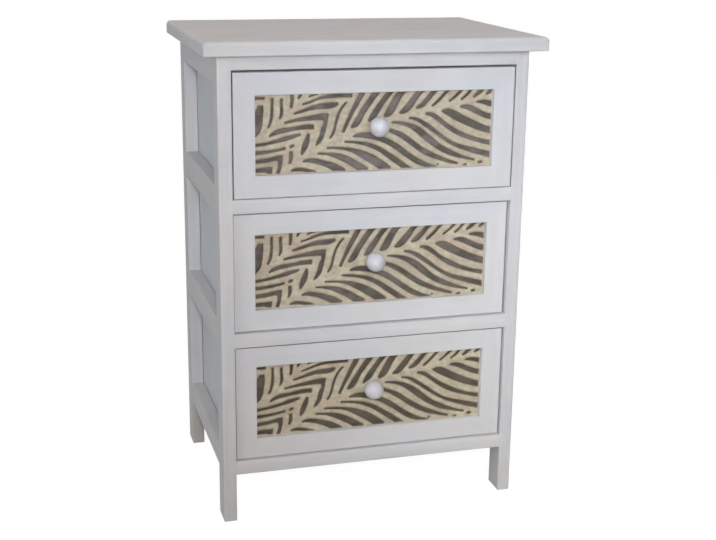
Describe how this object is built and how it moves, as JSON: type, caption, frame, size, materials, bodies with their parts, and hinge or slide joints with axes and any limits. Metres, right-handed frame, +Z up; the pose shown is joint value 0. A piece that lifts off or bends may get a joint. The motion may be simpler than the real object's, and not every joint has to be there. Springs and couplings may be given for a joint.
{
  "type": "chest of drawers",
  "caption": "Small free-standing painted wooden chest on straight legs; sliding drawers with pierced leaf fretwork fronts and ball knobs under an overhanging top.",
  "frame": {"origin": "on the floor, midway between the outer sides and midway between the tip of the upper knob and the back of the legs", "axes": "+Z up, -Y out of the drawers' fronts, +X to the right as seen from the front"},
  "size_m": [0.4, 0.294, 0.571],
  "materials": {
    "white_paint": "satin white paint over fine-grained wood",
    "plain_wood": "bare pale wood",
    "fretwork_wood": "cream wash with darker slot edges",
    "dark_board": "dark stained thin board",
    "steel": "zinc-plated"
  },
  "bodies": {
    "case": {"top_board": "white_paint", "front_left_leg": "white_paint", "front_right_leg": "white_paint", "rear_left_leg": "white_paint", "rear_right_leg": "white_paint", "front_top_rail": "white_paint", "front_upper_divider": "white_paint", "front_lower_divider": "white_paint", "front_bottom_rail": "white_paint", "rear_top_rail": "white_paint", "rear_bottom_rail": "white_paint", "left_top_rail": "white_paint", "left_upper_rail": "white_paint", "left_lower_rail": "white_paint", "left_bottom_rail": "white_paint", "left_side_panel": "white_paint", "right_top_rail": "white_paint", "right_upper_rail": "white_paint", "right_lower_rail": "white_paint", "right_bottom_rail": "white_paint", "right_side_panel": "white_paint", "back_panel": "white_paint", "upper_left_runner": "plain_wood", "upper_right_runner": "plain_wood", "middle_left_runner": "plain_wood", "middle_right_runner": "plain_wood", "lower_left_runner": "plain_wood", "lower_right_runner": "plain_wood", "frame_dowels": "plain_wood", "top_screws": "steel", "runner_screws": "steel", "panel_nails": "steel"},
    "upper_drawer": {"upper_drawer_front": "white_paint", "upper_drawer_fretwork": "fretwork_wood", "upper_drawer_backing": "dark_board", "upper_drawer_left_side": "plain_wood", "upper_drawer_right_side": "plain_wood", "upper_drawer_back": "plain_wood", "upper_drawer_bottom": "plain_wood", "upper_drawer_knob": "white_paint", "upper_drawer_knob_screw": "steel"},
    "middle_drawer": {"middle_drawer_front": "white_paint", "middle_drawer_fretwork": "fretwork_wood", "middle_drawer_backing": "dark_board", "middle_drawer_left_side": "plain_wood", "middle_drawer_right_side": "plain_wood", "middle_drawer_back": "plain_wood", "middle_drawer_bottom": "plain_wood", "middle_drawer_knob": "white_paint", "middle_drawer_knob_screw": "steel"},
    "lower_drawer": {"lower_drawer_front": "white_paint", "lower_drawer_fretwork": "fretwork_wood", "lower_drawer_backing": "dark_board", "lower_drawer_left_side": "plain_wood", "lower_drawer_right_side": "plain_wood", "lower_drawer_back": "plain_wood", "lower_drawer_bottom": "plain_wood", "lower_drawer_knob": "white_paint", "lower_drawer_knob_screw": "steel"}
  },
  "joints": [
    {"name": "upper_drawer_slide", "type": "slide", "parent": "case", "child": "upper_drawer", "axis": [0, -1, 0], "range_m": [0, 0.2]},
    {"name": "middle_drawer_slide", "type": "slide", "parent": "case", "child": "middle_drawer", "axis": [0, -1, 0], "range_m": [0, 0.2]},
    {"name": "lower_drawer_slide", "type": "slide", "parent": "case", "child": "lower_drawer", "axis": [0, -1, 0], "range_m": [0, 0.2]}
  ]
}
